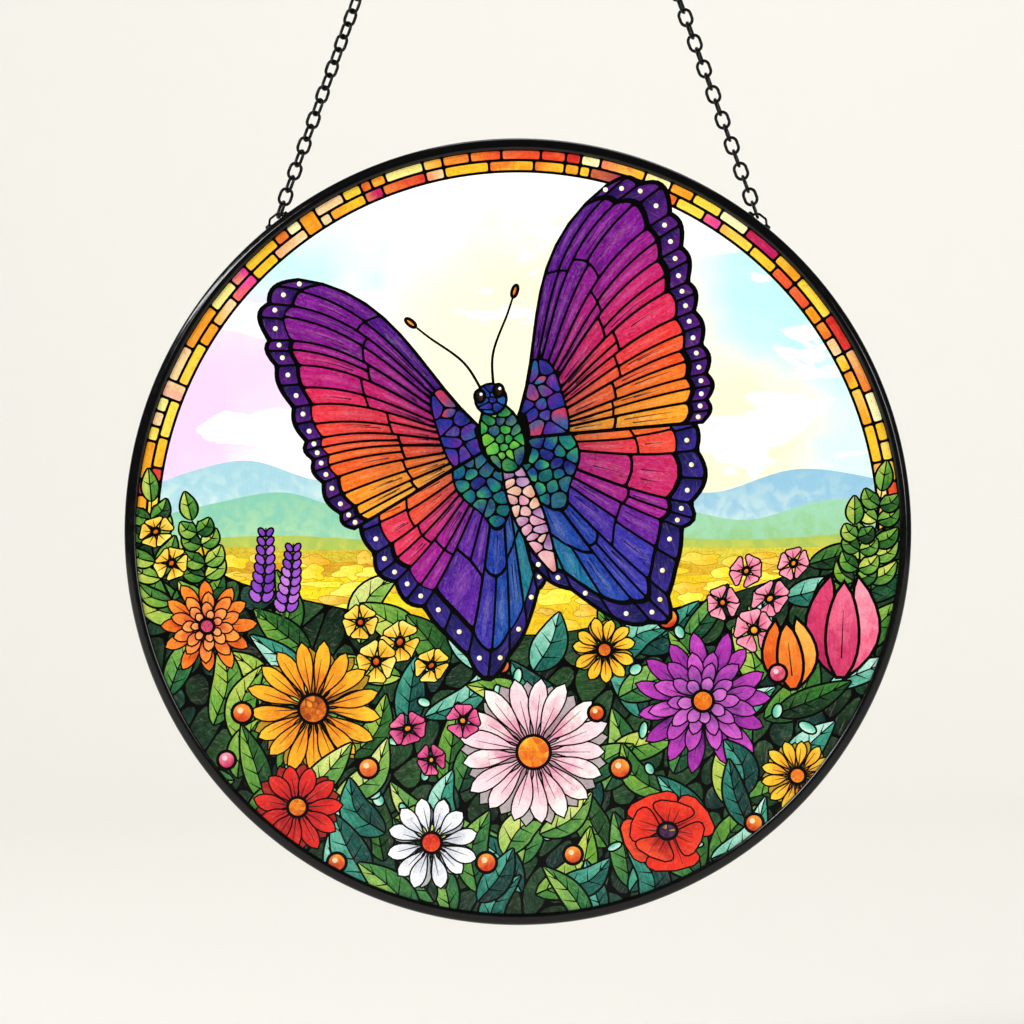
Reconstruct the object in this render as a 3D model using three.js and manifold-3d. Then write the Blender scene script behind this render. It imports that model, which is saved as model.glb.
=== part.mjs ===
// A round glass suncatcher: a printed glass panel in a black metal rim, hung on one black link chain.
// Millimetres, +Z up. The panel hangs in the XZ plane and its printed front faces -Y.
// The origin is inside the chain's middle link, on the underside of its top, where a hook carries the piece.
import * as THREE from "three";
import { mergeVertices } from "three/addons/utils/BufferGeometryUtils.js";
import Module from "manifold-3d";

const wasm = await Module();
wasm.setup();

// ---- Driving dimensions ----

const RIGHT_ANGLE = Math.PI / 2;

const RIM_RADIUS = 100; // outer radius of the rim, so the suncatcher is 200 mm wide
const RIM_FACE = 3; // how much of the panel's edge the rim covers, seen from the front
const RIM_DEPTH = 5.2; // front to back
const RIM_WEB = 1; // metal behind the groove, at the outer edge
const RIM_ROUNDING = 1.5; // radius of the rim's outer corners
const LIP_BEVEL = 0.35; // on the two lips, next to the glass
const ROUND_SEGMENTS = 64; // flats round the rim and the panel
const CORNER_STEPS = 2; // flats on each rounded corner of the rim

const GLASS_THICKNESS = 3;
const FIT_GAP = 0.3; // between the glass and its groove, all round

const HANGER_ANGLE = THREE.MathUtils.degToRad(37.8); // from the top of the rim to each hanger loop
const HANGER_WIRE = 0.6; // wire diameter
const HANGER_REACH = 3.3; // along the rim, from the middle of the loop to each end
const HANGER_CREST = 0.9; // along the rim, from the middle of the loop to where its wire turns down
const HANGER_FOOT = 2.4; // along the rim, from the middle of the loop to where its wire lies on the rim
const HANGER_RISE = 1.05; // from the feet to the crest
const HANGER_SEAT = 0.1; // between the feet and the rim
const HANGER_SIDES = 6;
const HANGER_STEPS = 14;

const CHAIN_WIRE = 0.72; // side of the square that stands for a round wire of 0.8 mm
const LINK_WIDTH = 3.1; // between the middles of the wire
const LINK_PITCH = 3.46;
const LINK_CORNERS = 8; // flats round each link
const LINK_BITE = 0.04; // how far two fused links press into each other
const LINK_PLAY = 0.1; // between pieces of chain that only touch
const LINK_LENGTH = LINK_PITCH + CHAIN_WIRE + (LINK_PLAY - LINK_BITE) / 2; // as LINK_WIDTH is measured
const FUSED_PITCH = LINK_LENGTH - CHAIN_WIRE + LINK_BITE;
const LOOSE_PITCH = LINK_LENGTH - CHAIN_WIRE - LINK_PLAY;
const PAIRS_PER_LEG = 25; // links 1 to 50 of each leg, fused two by two where they touch; link 51 is single

// Where the end wire of a leg's first link sits inside its hanger loop.
const FIRST_LINK_ALONG = 0.8; // along the rim, from the middle of the loop towards the top of the rim
const FIRST_LINK_HEIGHT = 0.52; // above the rim

// Where the end wire of a leg's last link sits inside the middle link, from that link's centre.
const LAST_LINK_ALONG = 0.79;
const LAST_LINK_DROP = 0.63;

// How far each leg is turned about its own length: at the rim, and how much more halfway up.
const LEGS = [
  { side: "left", sign: -1, turnAtRim: Math.PI / 10, turnHalfway: Math.PI / 5 },
  { side: "right", sign: 1, turnAtRim: -Math.PI / 36, turnHalfway: -Math.PI / 12 },
];

const printedGlass = new THREE.MeshStandardMaterial({ color: 0xf4edb8, roughness: 0.2, metalness: 0 });
const blackMetal = new THREE.MeshStandardMaterial({ color: 0x0b0b0c, roughness: 0.3, metalness: 0.5 });

function named(name, geometry, material) {
  const mesh = new THREE.Mesh(geometry, material);
  mesh.name = name;
  return mesh;
}

// ---- Glass panel and rim, both turned about Y round the panel's centre ----

function glassPanel() {
  const radius = RIM_RADIUS - RIM_WEB - FIT_GAP;
  const geometry = new THREE.CylinderGeometry(radius, radius, GLASS_THICKNESS, ROUND_SEGMENTS);
  return named("glass_panel", geometry, printedGlass);
}

// The rim is a channel: two lips hold the glass between them, and the outer corners are rounded over.
function rimProfile() {
  const lip = RIM_RADIUS - RIM_FACE;
  const grooveBottom = RIM_RADIUS - RIM_WEB;
  const grooveSide = GLASS_THICKNESS / 2 + FIT_GAP;
  const face = RIM_DEPTH / 2;
  const profile = [
    new THREE.Vector2(lip, grooveSide),
    new THREE.Vector2(grooveBottom, grooveSide),
    new THREE.Vector2(grooveBottom, -grooveSide),
    new THREE.Vector2(lip, -grooveSide),
    new THREE.Vector2(lip, LIP_BEVEL - face),
    new THREE.Vector2(lip + LIP_BEVEL, -face),
  ];
  for (const end of [-1, 1])
    for (let step = 0; step <= CORNER_STEPS; step++) {
      const angle = RIGHT_ANGLE * (step / CORNER_STEPS - (end < 0 ? 1 : 0));
      const radius = RIM_RADIUS - RIM_ROUNDING + RIM_ROUNDING * Math.cos(angle);
      const height = end * (face - RIM_ROUNDING) + RIM_ROUNDING * Math.sin(angle);
      profile.push(new THREE.Vector2(radius, height));
    }
  profile.push(new THREE.Vector2(lip + LIP_BEVEL, face));
  profile.push(new THREE.Vector2(lip, face - LIP_BEVEL));
  profile.push(new THREE.Vector2(lip, grooveSide));
  return profile;
}

function rim() {
  return named("rim", new THREE.LatheGeometry(rimProfile(), ROUND_SEGMENTS), blackMetal);
}

// A point outside the rim, from the panel's centre: an angle from the top, then along and above the rim.
function outsideRim(angle, along, height) {
  const turned = angle + along / RIM_RADIUS;
  const radius = RIM_RADIUS + height;
  return new THREE.Vector3(radius * Math.sin(turned), 0, radius * Math.cos(turned));
}

// ---- Hanger loops: a low hump of wire on the rim's outer edge ----

class HangerPath extends THREE.Curve {
  getPoint(t, target = new THREE.Vector3()) {
    const along = HANGER_REACH * (2 * t - 1);
    const lift = 1 - THREE.MathUtils.smoothstep(Math.abs(along), HANGER_CREST, HANGER_FOOT);
    return target.copy(outsideRim(0, along, HANGER_SEAT + HANGER_WIRE / 2 + HANGER_RISE * lift));
  }
}

function hangerLoop({ side, sign }) {
  const section = new THREE.Shape();
  section.moveTo(HANGER_WIRE / 2, 0);
  for (let corner = 1; corner < HANGER_SIDES; corner++) {
    const angle = (2 * Math.PI * corner) / HANGER_SIDES;
    section.lineTo((HANGER_WIRE / 2) * Math.cos(angle), (HANGER_WIRE / 2) * Math.sin(angle));
  }
  const geometry = new THREE.ExtrudeGeometry(section, { steps: HANGER_STEPS, extrudePath: new HangerPath() });
  const mesh = named(`${side}_hanger_loop`, geometry, blackMetal);
  mesh.rotation.y = sign * HANGER_ANGLE;
  return mesh;
}

// ---- Chain links ----

// A link lies in the XZ plane with its length along X: a square ring of eight flats, pulled out into an oval.
function linkGeometry() {
  const toCorner = 1 / Math.cos(Math.PI / LINK_CORNERS);
  const inner = ((LINK_WIDTH - CHAIN_WIRE) / 2) * toCorner;
  const outer = ((LINK_WIDTH + CHAIN_WIRE) / 2) * toCorner;
  const half = CHAIN_WIRE / 2;
  const section = [
    new THREE.Vector2(inner, -half),
    new THREE.Vector2(outer, -half),
    new THREE.Vector2(outer, half),
    new THREE.Vector2(inner, half),
    new THREE.Vector2(inner, -half),
  ];
  const link = new THREE.LatheGeometry(section, LINK_CORNERS, Math.PI / LINK_CORNERS);
  const position = link.getAttribute("position");
  const pull = (LINK_LENGTH - LINK_WIDTH) / 2;
  for (let i = 0; i < position.count; i++) {
    const x = position.getX(i);
    position.setX(i, x + pull * Math.sign(x));
  }
  return link;
}

function solidFrom(geometry) {
  const bare = geometry.clone();
  bare.deleteAttribute("normal");
  bare.deleteAttribute("uv");
  const merged = mergeVertices(bare);
  const vertProperties = merged.getAttribute("position").array;
  const triVerts = new Uint32Array(merged.index.array);
  return new wasm.Manifold(new wasm.Mesh({ numProp: 3, vertProperties, triVerts }));
}

// Two links at right angles, fused where the end of one presses on the end of the other.
function linkPairGeometry() {
  const lower = linkGeometry().rotateX(RIGHT_ANGLE).translate(-FUSED_PITCH / 2, 0, 0);
  const upper = linkGeometry().translate(FUSED_PITCH / 2, 0, 0);
  const joined = solidFrom(lower).add(solidFrom(upper)).getMesh();
  const geometry = new THREE.BufferGeometry();
  geometry.setAttribute("position", new THREE.BufferAttribute(joined.vertProperties, 3));
  geometry.setIndex(new THREE.BufferAttribute(joined.triVerts, 1));
  geometry.computeVertexNormals();
  return geometry;
}

// ---- Chain legs, each a straight row of links from its hanger loop to the middle link ----

const legLength = LINK_LENGTH + PAIRS_PER_LEG * (FUSED_PITCH + LOOSE_PITCH);
const legFoot = outsideRim(HANGER_ANGLE, -FIRST_LINK_ALONG, FIRST_LINK_HEIGHT); // of the right leg
const legHeight = Math.sqrt(legLength ** 2 - (legFoot.x - LAST_LINK_ALONG) ** 2);
const middleLinkHeight = legFoot.z + legHeight + LAST_LINK_DROP;

function chainLeg({ side, sign, turnAtRim, turnHalfway }) {
  const leg = new THREE.Group();
  leg.position.set(sign * legFoot.x, 0, legFoot.z);
  leg.rotation.y = -Math.atan2(legHeight, -sign * (legFoot.x - LAST_LINK_ALONG)); // X now runs up the leg
  const place = (name, geometry, along) => {
    const mesh = named(`${side}_${name}`, geometry, blackMetal);
    const share = along / legLength;
    mesh.position.x = along;
    mesh.rotation.x = turnAtRim * (1 - share) + turnHalfway * Math.sin(Math.PI * share);
    leg.add(mesh);
  };
  const pair = linkPairGeometry();
  for (let i = 0; i < PAIRS_PER_LEG; i++) {
    const along = LINK_LENGTH / 2 + FUSED_PITCH / 2 + i * (FUSED_PITCH + LOOSE_PITCH);
    place(`chain_links_${2 * i + 1}_${2 * i + 2}`, pair, along);
  }
  const single = linkGeometry().rotateX(RIGHT_ANGLE);
  place(`chain_link_${2 * PAIRS_PER_LEG + 1}`, single, legLength - LINK_LENGTH / 2);
  return leg;
}

// The middle link hangs on the hook by its long side, with a leg's last link in each end.
function middleLink() {
  const mesh = named("middle_chain_link", linkGeometry(), blackMetal);
  mesh.position.z = middleLinkHeight;
  return mesh;
}

// ---- Assembly, built round the panel's centre and then hung from the hook ----

const suncatcher = new THREE.Group();
suncatcher.add(glassPanel(), rim(), middleLink());
for (const leg of LEGS) suncatcher.add(hangerLoop(leg), chainLeg(leg));
suncatcher.position.z = -(middleLinkHeight + (LINK_WIDTH - CHAIN_WIRE) / 2);

const part = new THREE.Group();
part.add(suncatcher);
export default part;
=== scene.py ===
"""A round glass suncatcher: a printed panel in a black metal rim, hung on one black chain.

Metres, Z up. The panel hangs in the XZ plane with its printed front towards -Y, and the
origin is where a hook carries the chain's middle link.
"""

import math

import bmesh
import bpy
import numpy as np
from mathutils import Matrix, Vector
from mathutils.geometry import delaunay_2d_cdt


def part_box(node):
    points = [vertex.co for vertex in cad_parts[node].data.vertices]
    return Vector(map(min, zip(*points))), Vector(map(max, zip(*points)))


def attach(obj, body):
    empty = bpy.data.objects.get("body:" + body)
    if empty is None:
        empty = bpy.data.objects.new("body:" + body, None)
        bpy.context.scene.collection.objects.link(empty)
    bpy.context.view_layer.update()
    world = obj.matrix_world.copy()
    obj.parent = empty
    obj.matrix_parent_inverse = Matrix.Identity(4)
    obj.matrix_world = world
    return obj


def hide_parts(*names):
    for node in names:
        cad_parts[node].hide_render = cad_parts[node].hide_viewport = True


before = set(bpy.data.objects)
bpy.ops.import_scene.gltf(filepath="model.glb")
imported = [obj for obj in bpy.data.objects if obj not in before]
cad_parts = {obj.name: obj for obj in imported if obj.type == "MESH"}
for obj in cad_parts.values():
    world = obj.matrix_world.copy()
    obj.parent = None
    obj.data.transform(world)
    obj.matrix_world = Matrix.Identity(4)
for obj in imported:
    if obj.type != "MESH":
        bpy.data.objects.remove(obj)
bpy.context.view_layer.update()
MM = 0.001
scene = bpy.context.scene

# ---- Camera ----
# A long lens level with the panel, so the round panel stays round. The chain runs out of the
# top of the picture.

rim_low, rim_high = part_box("rim")
panel_middle = (rim_low + rim_high) / 2
rim_radius = (rim_high.x - rim_low.x) / 2 / MM

CAMERA_DISTANCE = 1.3
CAMERA_ASIDE = -1.5 * MM
CAMERA_RISE = 5 * MM
SENSOR_WIDTH = 36
FRAME_WIDTH = 2.604 * rim_radius * MM
camera = bpy.data.objects.new("camera", bpy.data.cameras.new("camera"))
camera.data.sensor_width = SENSOR_WIDTH
camera.data.lens = SENSOR_WIDTH * CAMERA_DISTANCE / FRAME_WIDTH
camera.location = panel_middle + Vector((CAMERA_ASIDE, -CAMERA_DISTANCE, CAMERA_RISE))
camera.rotation_euler = (math.radians(90), 0, 0)
camera.data.clip_start = 0.05
scene.collection.objects.link(camera)
scene.camera = camera

# ---- Studio ----
# A pale matt sweep: a floor below the panel that curves up far behind it. A soft light stands on
# each side of the camera, a narrow one draws a bright line on the rim, and one lights the sweep.


def linear(colour):
    """A hex colour as the linear numbers that shaders take."""
    channels = [int(colour[i : i + 2], 16) / 255 for i in (1, 3, 5)]
    return [c / 12.92 if c <= 0.04045 else ((c + 0.055) / 1.055) ** 2.4 for c in channels] + [1]


def add(material, kind, settings=None, inputs=None):
    """Adds a node. settings are its own options, inputs are values or other nodes' outputs by socket."""
    made = material.node_tree.nodes.new(kind)
    for name, value in (settings or {}).items():
        setattr(made, name, value)
    for socket, value in (inputs or {}).items():
        if isinstance(value, bpy.types.NodeSocket):
            material.node_tree.links.new(value, made.inputs[socket])
        else:
            made.inputs[socket].default_value = value
    return made


def new_material(name, **values):
    """A material and its Principled shader, with plain values on the shader's own sockets."""
    material = bpy.data.materials.new(name)
    material.use_nodes = True
    shader = material.node_tree.nodes["Principled BSDF"]
    for socket, value in values.items():
        shader.inputs[socket.replace("_", " ")].default_value = value
    return material, shader


def new_object(name, mesh, material):
    made = bpy.data.objects.new(name, mesh)
    made.data.materials.append(material)
    scene.collection.objects.link(made)
    return made


FLOOR_DROP = 0.055
FLOOR_FRONT = -6
SWEEP_HALF_WIDTH = 5
SWEEP_START = 1.4
SWEEP_RADIUS = 1.2
WALL_RISE = 3
floor_z = rim_low.z - FLOOR_DROP
turns = np.linspace(0, math.pi / 2, 25)
profile = [(FLOOR_FRONT, floor_z)]
profile += [
    (SWEEP_START + SWEEP_RADIUS * math.sin(a), floor_z + SWEEP_RADIUS * (1 - math.cos(a))) for a in turns
]
profile.append((SWEEP_START + SWEEP_RADIUS, floor_z + WALL_RISE))
sweep_mesh = bpy.data.meshes.new("studio_sweep")
sweep_mesh.from_pydata(
    [(x, y, z) for y, z in profile for x in (-SWEEP_HALF_WIDTH, SWEEP_HALF_WIDTH)],
    [],
    [(2 * i, 2 * i + 1, 2 * i + 3, 2 * i + 2) for i in range(len(profile) - 1)],
)
sweep_mesh.shade_smooth()
matt_paint, _ = new_material("matt_paint", Base_Color=linear("#f1efe8"), Roughness=0.9)
new_object("studio_sweep", sweep_mesh, matt_paint)

SWEEP_AIM = Vector((0, 2.4, panel_middle.z))
for name, place, width, length, power in (
    ("key_light", (-1.4, -1.6, 1.2), 0.8, 0.8, 19),
    ("strip_light", (-1.3, -0.85, 1.1), 0.2, 1.5, 22),
    ("fill_light", (1.7, -1.5, 0.5), 0.9, 0.9, 24),
    ("sweep_light", (0.3, 1.0, 2.2), 1.6, 1.6, 34),
):
    lamp = bpy.data.lights.new(name, "AREA")
    lamp.shape = "RECTANGLE"
    lamp.size = length
    lamp.size_y = width
    lamp.energy = power
    light = bpy.data.objects.new(name, lamp)
    light.location = panel_middle + Vector(place)
    aim = SWEEP_AIM if name == "sweep_light" else panel_middle
    light.rotation_euler = (aim - light.location).to_track_quat("-Z", "Y").to_euler()
    scene.collection.objects.link(light)

world = bpy.data.worlds.new("dim_room")
world.use_nodes = True
world.node_tree.nodes["Background"].inputs["Color"].default_value = linear("#fbfaf6")
world.node_tree.nodes["Background"].inputs["Strength"].default_value = 0.12
scene.world = world
scene.view_settings.view_transform = "Standard"

# ---- Glass panel ----
# A disc of clear float glass, 3 mm thick, with its edge ground and sitting in the rim's groove.
# It is printed on both faces, so little of the glass itself shows.

glass_low, glass_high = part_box("glass_panel")
GLASS_RADIUS = (glass_high.x - glass_low.x) / 2
GLASS_CHAMFER = 0.4 * MM
GLASS_SEGMENTS = 192


def turned(outline, segments, closed):
    """Corners and faces turned about the panel's axis from an outline of (radius, y)."""
    angles = np.linspace(0, 2 * math.pi, segments, endpoint=False)
    corners = [
        (r * math.sin(a), panel_middle.y + y, panel_middle.z + r * math.cos(a))
        for a in angles
        for r, y in outline
    ]
    count = len(outline)
    faces = []
    for i in range(segments):
        here, ahead = i * count, (i + 1) % segments * count
        for k in range(count if closed else count - 1):
            after = (k + 1) % count
            faces.append((here + k, ahead + k, ahead + after, here + after))
    return corners, faces


def mesh_of(name, parts):
    """One mesh of several lists of corners and faces, with every face pointing out."""
    made = bmesh.new()
    for corners, faces in parts:
        placed_corners = [made.verts.new(corner) for corner in corners]
        for face in faces:
            made.faces.new([placed_corners[k] for k in face])
    bmesh.ops.remove_doubles(made, verts=made.verts, dist=1e-7)
    bmesh.ops.recalc_face_normals(made, faces=made.faces)
    mesh = bpy.data.meshes.new(name)
    made.to_mesh(mesh)
    made.free()
    return mesh


half_glass = (glass_high.y - glass_low.y) / 2
glass_outline = [
    (0, -half_glass),
    (GLASS_RADIUS - GLASS_CHAMFER, -half_glass),
    (GLASS_RADIUS, GLASS_CHAMFER - half_glass),
    (GLASS_RADIUS, half_glass - GLASS_CHAMFER),
    (GLASS_RADIUS - GLASS_CHAMFER, half_glass),
    (0, half_glass),
]
float_glass, _ = new_material(
    "clear_float_glass", Base_Color=linear("#eef8f2"), Roughness=0.02, IOR=1.52, Transmission_Weight=1
)
glass_mesh = mesh_of("glass_body", [turned(glass_outline, GLASS_SEGMENTS, False)])
glass_body = new_object("glass_body", glass_mesh, float_glass)
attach(glass_body, "root")
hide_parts("glass_panel")

# ---- Printed picture: the inks ----
# A stained glass picture printed in cured inks: flat panes of colour between black lines that
# stand for lead. It is drawn in millimetres from the panel's middle, x to the right and y up,
# as complex numbers, and the later patches cover the earlier ones.

PICTURE_RADIUS = 97.4
LINE = 0.8
FINE_LINE = 0.42
BLACK = "#040404"
SKY = "#fdfcf0"
rng = np.random.default_rng(11)
ink = []


def ray(degrees):
    """The unit step in a direction."""
    return np.exp(1j * np.radians(degrees))


def tint(colour, towards, share):
    """A hex colour taken part of the way towards another."""
    pairs = [(int(colour[i : i + 2], 16), int(towards[i : i + 2], 16)) for i in (1, 3, 5)]
    return "#" + "".join(f"{round(a + (b - a) * share):02x}" for a, b in pairs)


def from_row(colours, share):
    """The colour at a share of the way through a row of hex colours."""
    place = min(max(share, 0.0), 0.9999) * (len(colours) - 1)
    return tint(colours[int(place)], colours[int(place) + 1], place % 1)


def lay(outline, colour, second=None, grain=None, figure=0.6):
    """Prints a patch. Its colour runs from the first to the second along grain, (start, end).

    figure is how much of the brushed and veined texture of art glass it shows.
    """
    outline = np.asarray(outline, complex)
    if len(outline) > 2:
        grain = grain or (outline[0], outline[len(outline) // 2])
        ink.append((outline, colour, second or colour, grain, figure))


def winding(loop):
    """The area inside a loop, negative if it runs clockwise."""
    return 0.5 * np.sum((np.conj(loop) * np.roll(loop, -1)).imag)


def tidy(loop, least=0.06):
    """The loop anticlockwise, without points that lie on one another."""
    loop = np.asarray(loop, complex)
    loop = loop[abs(loop - np.roll(loop, 1)) > least]
    return loop if winding(loop) > 0 else loop[::-1]


def inset(loop, by):
    """The loop drawn in by a distance. Sides that turn back on themselves are dropped."""
    loop = tidy(loop)
    moved = loop
    for _ in range(6):
        if len(loop) < 3:
            return loop
        side = np.roll(loop, -1) - loop
        side = side / abs(side)
        corner = side + np.roll(side, 1)
        spread = np.maximum(abs(corner), 1e-6)
        moved = loop + by * np.minimum(2 / spread, 2.2) * 1j * corner / spread
        turned_back = ((np.roll(moved, -1) - moved) * np.conj(side)).real <= 0.02
        if not turned_back.any():
            break
        after = np.roll(turned_back, 1)
        middles = np.where(turned_back & ~after, (loop + np.roll(loop, -1)) / 2, loop)
        loop = tidy(middles[turned_back | ~after])
    return moved


def rounded(loop, radius):
    """The loop with its sharp corners cut to a curve."""
    out = []
    for before, point, after in zip(np.roll(loop, 1), loop, np.roll(loop, -1)):
        back, ahead = before - point, after - point
        if abs(np.angle(-ahead / back)) < 0.5:
            out.append(point)
            continue
        start = point + back / abs(back) * min(radius, 0.45 * abs(back))
        end = point + ahead / abs(ahead) * min(radius, 0.45 * abs(ahead))
        out += [start, (start + 2 * point + end) / 4, end]
    return np.array(out)


def clip(loop, point, away):
    """The part of a loop behind the line through point that away stands square to."""
    side = ((loop - point) * np.conj(away)).real
    out = []
    for here, ahead, a, b in zip(loop, np.roll(loop, -1), side, np.roll(side, -1)):
        if a <= 0:
            out.append(here)
        if a * b < 0:
            out.append(here + (ahead - here) * a / (a - b))
    return np.array(out)


def inside(points, loop):
    """Which of the points are inside a loop."""
    points = np.atleast_1d(points)[:, None]
    a, b = loop[None, :], np.roll(loop, -1)[None, :]
    crosses = (a.imag > points.imag) != (b.imag > points.imag)
    rise = np.where(b.imag == a.imag, 1, b.imag - a.imag)
    left = points.real < (b.real - a.real) * (points.imag - a.imag) / rise + a.real
    return (crosses & left).sum(1) % 2 == 1


def pebbles(region, size, gap=0.5, pull=1.0, lean=0.0):
    """Rounded cells that fill a region like a mosaic. pull lengthens them along lean."""
    turn = ray(lean)

    def stretch(z, by):
        return z.real * by + 1j * z.imag

    flat = stretch(tidy(region) / turn, 1 / pull)
    rows = []
    for row, y in enumerate(np.arange(flat.imag.min(), flat.imag.max() + size, size * 0.87)):
        xs = np.arange(flat.real.min() - size, flat.real.max() + size, size)
        rows.append(xs + size * 0.5 * (row % 2) + 1j * y)
    seeds = np.concatenate(rows)
    seeds = seeds + size * 0.32 * (rng.uniform(-1, 1, len(seeds)) + 1j * rng.uniform(-1, 1, len(seeds)))
    seeds = seeds[inside(seeds, inset(flat, size * 0.22))]
    edge = inset(flat, gap / 2)
    for seed in seeds:
        cell = edge
        near = seeds[(abs(seeds - seed) < 3.2 * size) & (seeds != seed)]
        for other in near[np.argsort(abs(near - seed))]:
            away = (other - seed) / abs(other - seed)
            cell = clip(cell, (seed + other) / 2 - away * gap / 2, away)
            if len(cell) < 3:
                break
        if len(cell) < 3:
            continue
        cell = tidy(cell, 0.12)
        if len(cell) > 2 and winding(cell) > 0.1 * size * size:
            yield stretch(rounded(cell, size * 0.3), pull) * turn


def curve(points, steps=8):
    """A smooth open line through a few points."""
    points = np.asarray(points, complex)
    ends = 2 * points[0] - points[1], 2 * points[-1] - points[-2]
    padded = np.concatenate([[ends[0]], points, [ends[1]]])
    t = np.linspace(0, 1, steps, endpoint=False)[:, None]
    a, b, c, d = padded[:-3], padded[1:-2], padded[2:-1], padded[3:]
    bend = (2 * a - 5 * b + 4 * c - d) * t**2 + (3 * b - a - 3 * c + d) * t**3
    return np.append((b + 0.5 * ((c - a) * t + bend)).T.ravel(), points[-1])


def band(line, half):
    """The outline of a stroke along a line, half its width being one number or one a point."""
    heading = np.gradient(line)
    side = 1j * heading / abs(heading) * half
    return np.concatenate([line + side, (line - side)[::-1]])


def stroke(line, width=FINE_LINE, tip=0.12, colour=BLACK):
    """A brush line that thins out towards its tip."""
    lay(band(np.asarray(line, complex), np.linspace(width, tip, len(line)) / 2), colour)


def pane(outline, colour, second=None, grain=None, line=LINE, figure=0.6):
    """A patch with a black line round it, half inside the outline and half outside."""
    lay(inset(outline, -line / 2), BLACK)
    lay(inset(outline, line / 2), colour, second, grain, figure)


def arc(middle, radius, start, stop, points=24):
    """Points along an arc from one direction to another, in degrees."""
    return middle + radius * ray(np.linspace(start, stop, points))


def oval(middle, long, wide, turn=0.0, points=20):
    """An oval whose long radius stands up, turned anticlockwise by degrees."""
    around = ray(np.linspace(0, 360, points, endpoint=False))
    return middle + (wide * around.real + 1j * long * around.imag) * ray(turn)


def blob(middle, width, height, lumps, depth):
    """A flat patch of field with a wavy edge."""
    around = np.linspace(0, 2 * math.pi, 44, endpoint=False)
    waves = sum(rng.uniform(0.3, 1) * np.cos(around * k + rng.uniform(0, 6.3)) for k in range(2, lumps))
    return middle + (width * np.cos(around) + 1j * height * np.sin(around)) * (1 + depth * waves / 2)


# ---- Printed picture: sky, hills and field ----
# The farthest things are printed first and have no black lines: a washed sky, blue and green
# hills, and a field of yellow flowers.

lay(arc(0, PICTURE_RADIUS + 1, 0, 360, 181)[:-1], SKY)


def ridge(points, top, low, floor):
    """A hill from its crest line down to a level floor."""
    crest = curve(points, 9)
    foot = [crest[-1].real + 1j * floor, crest[0].real + 1j * floor]
    lay(np.concatenate([crest, foot]), top, low, (1j * max(crest.imag), 1j * floor), 0.12)


def field_strip(height, near, far):
    """A strip of field from a wavy edge down to the garden, its brush marks level."""
    edge = curve([x + 1j * (height + rng.uniform(-0.7, 0.7)) for x in range(-104, 105, 16)], 5)
    lay(np.concatenate([edge, [104 - 42j, -104 - 42j]]), near, far, (-100 + 0j, 100 + 0j), 1)


ridge([-99 + 9j, -84 + 15j, -68 + 18j, -50 + 13j, -30 + 15j, -8 + 7j, 14 - 2j], "#a3d0dc", "#dcefe6", -8)
ridge([-10 + 0j, 14 + 7j, 32 + 12j, 50 + 10j, 72 + 16j, 99 + 12j], "#94c4dc", "#cfe8e4", -8)
ridge([-99 + 2j, -78 + 7j, -60 + 10j, -44 + 6j, -20 + 4j, 8 - 1j, 30 - 4j], "#86c8ae", "#bce0aa", -14)
ridge([-20 - 4j, 10 + 1j, 36 + 6j, 58 + 3j, 78 + 8j, 99 + 8j], "#9fd4b0", "#94c67c", -14)
ridge([-99 - 3j, -60 - 1j, -20 - 3j, 20 - 1j, 60 - 2j, 99 + 1j], "#a8bf5a", "#dfda58", -16)
FIELD_TONES = ["#fff250", "#fff04a", "#fbe234", "#f0b91f", "#e0b02a", "#f9d42c"]
for height, near, far in (
    (-4, "#dcc53e", "#e6d84e"),
    (-8, "#dcae2c", "#e8c23a"),
    (-11, "#f7e52e", "#f2d426"),
    (-19, "#f0c41e", "#f7d931"),
):
    field_strip(height, near, far)
for row in range(8):
    for x in np.arange(-92, 92, 8.5 + row * 0.9):
        middle = x + rng.uniform(-3, 3) + 1j * (-7.5 - row * 3.3 + rng.uniform(-0.8, 0.8))
        tone = from_row(FIELD_TONES, rng.random())
        shape = blob(middle, rng.uniform(2.6, 6.0), rng.uniform(0.7, 1.9), 6, 0.35)
        lay(inset(shape, -0.14), tint(tone, "#8a5a14", 0.5), None, None, 1)
        lay(shape, tone, tint(tone, "#fff79a", 0.5), None, 0.8)

# ---- Printed picture: brick border ----
# Two rows of small bricks follow the rim round the sky and end where the leaves begin. A few
# bricks are as tall as both rows.

BRICK_ROWS = [(94.75, 96.8), (91.9, 94.05)]
BORDER_RADIUS = 91.2
BORDER_START, BORDER_STOP = -24.0, 204.0
BRICK_JOINT = 0.42
BRICK_COLOURS = {
    "#fbc832": 5,
    "#fbdc4e": 6,
    "#f8ab2c": 4,
    "#fcee98": 5,
    "#f9d7a4": 4,
    "#f08a34": 4,
    "#ec5a30": 3,
    "#dc3c30": 2,
    "#c8286a": 2,
    "#a01c63": 1,
    "#fdf6c0": 4,
    "#ee4aa8": 2,
}
brick_odds = np.array(list(BRICK_COLOURS.values())) / sum(BRICK_COLOURS.values())


def brick_outline(inner, outer, start, stop):
    """A piece of ring between two radii and two directions."""
    steps = max(3, int(abs(stop - start) * 1.2))
    return np.concatenate([arc(0, outer, start, stop, steps), arc(0, inner, stop, start, steps)])


def lay_brick(inner, outer, start, stop):
    """A brick whose colour runs part of the way to another brick's."""
    first, other = rng.choice(list(BRICK_COLOURS), 2, p=brick_odds)
    second = tint(first, other, rng.choice([0.0, 0.2, 0.5]))
    shape = tidy(rounded(brick_outline(inner, outer, start, stop), 0.45))
    lay(shape, first, second, (ray(start) * inner, ray(stop) * inner), 0.8)


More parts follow.
